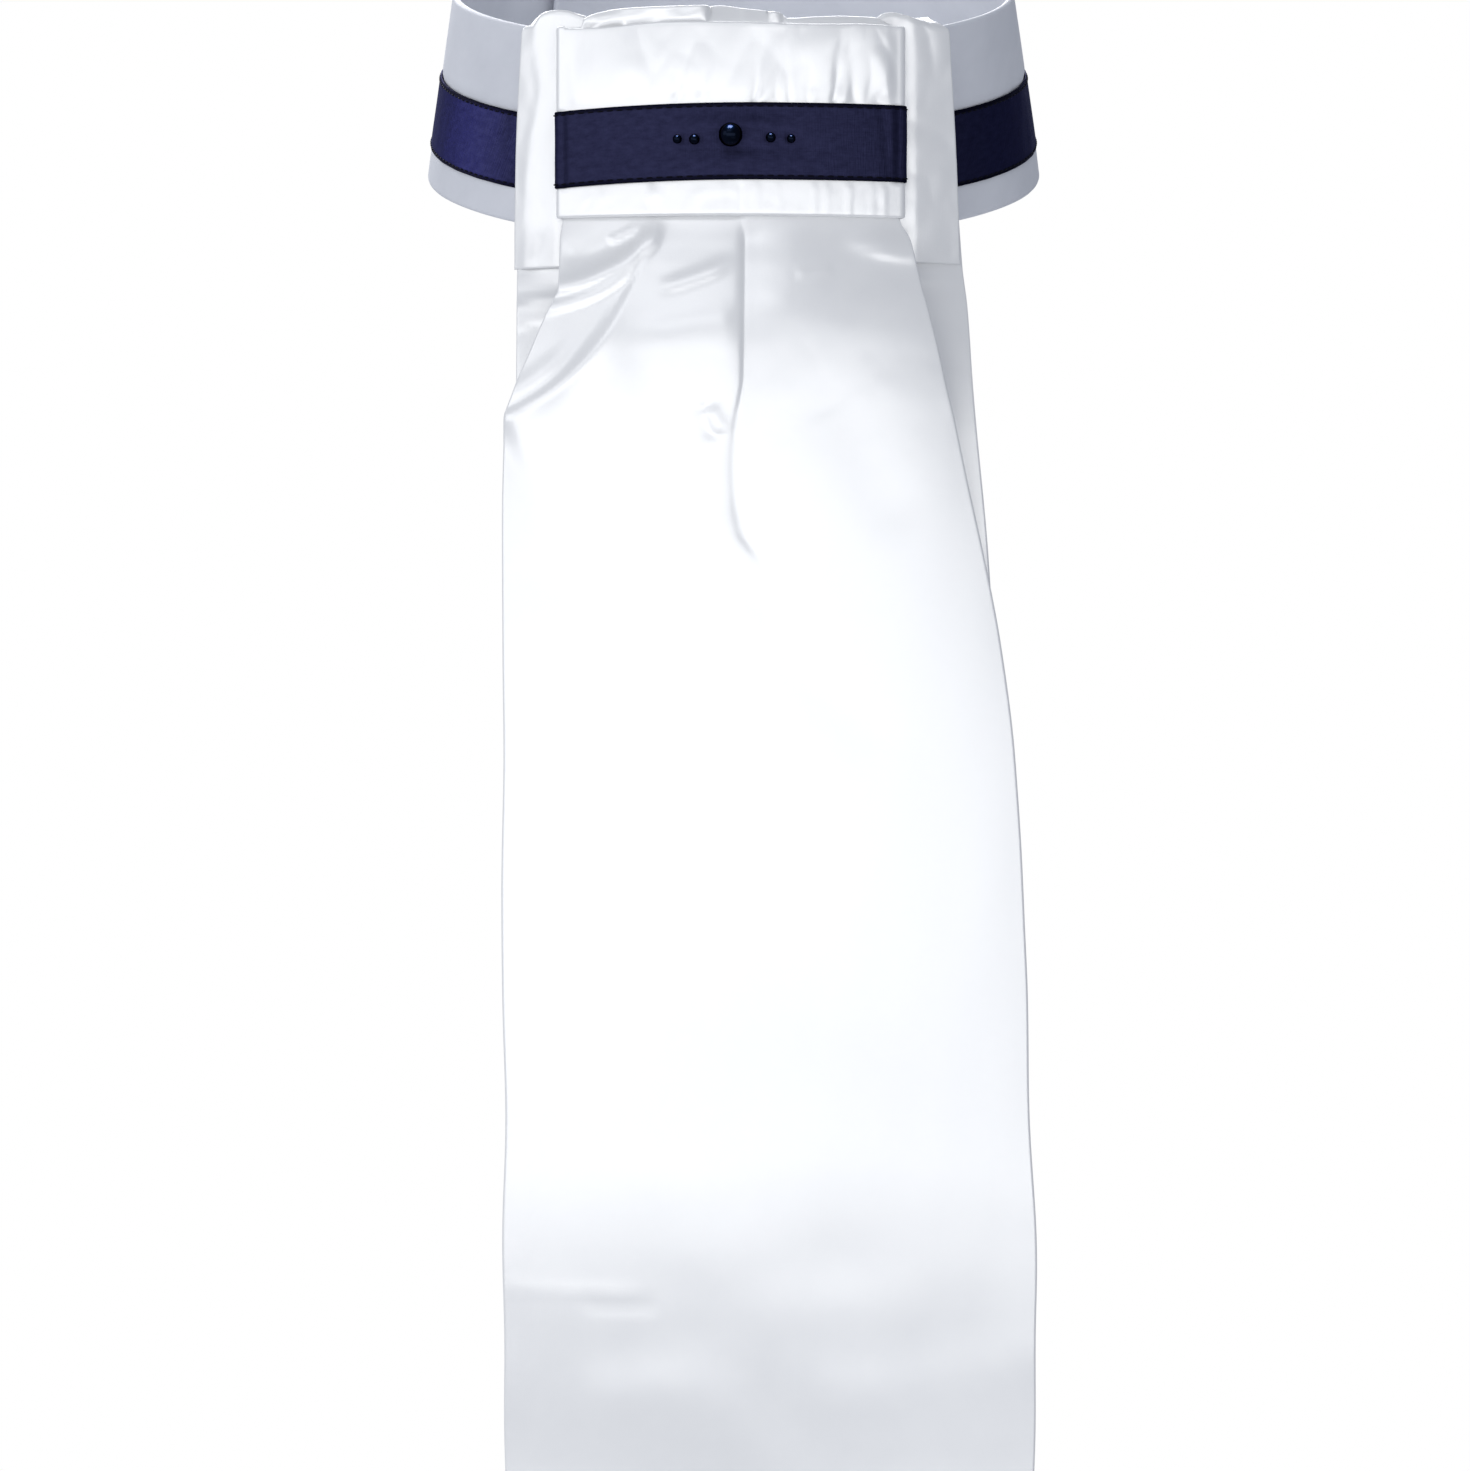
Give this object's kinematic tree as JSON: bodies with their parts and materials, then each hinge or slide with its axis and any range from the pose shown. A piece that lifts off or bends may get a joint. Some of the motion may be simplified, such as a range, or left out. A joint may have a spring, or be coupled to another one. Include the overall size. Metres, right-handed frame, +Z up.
{
  "type": "neck stock",
  "caption": "Ready-tied neck stock: conical collar closed at the back, gathered cross bar with ribbon and beads, two hanging satin tails.",
  "frame": {"origin": "middle of the neck hole, halfway up the collar on its axis", "axes": "+Z up, -Y to the wearer's front, +X to the wearer's left"},
  "size_m": [0.1351, 0.1521, 0.3541],
  "materials": {
    "satin": "white satin with a soft sheen",
    "collar_cloth": "white cotton satin, matt",
    "ribbon": "navy satin ribbon",
    "pearl": "glossy navy pearl",
    "hook_tape": "white hook-and-loop tape"
  },
  "bodies": {
    "root": {"collar_band": "collar_cloth", "collar_ribbon": "ribbon", "closure_patch": "hook_tape", "front_flap": "satin", "back_tail": "satin", "front_tail": "satin", "cross_bar": "satin", "bar_ribbon": "ribbon", "bead_outer_left": "pearl", "bead_inner_left": "pearl", "bead_centre": "pearl", "bead_inner_right": "pearl", "bead_outer_right": "pearl"}
  },
  "joints": []
}
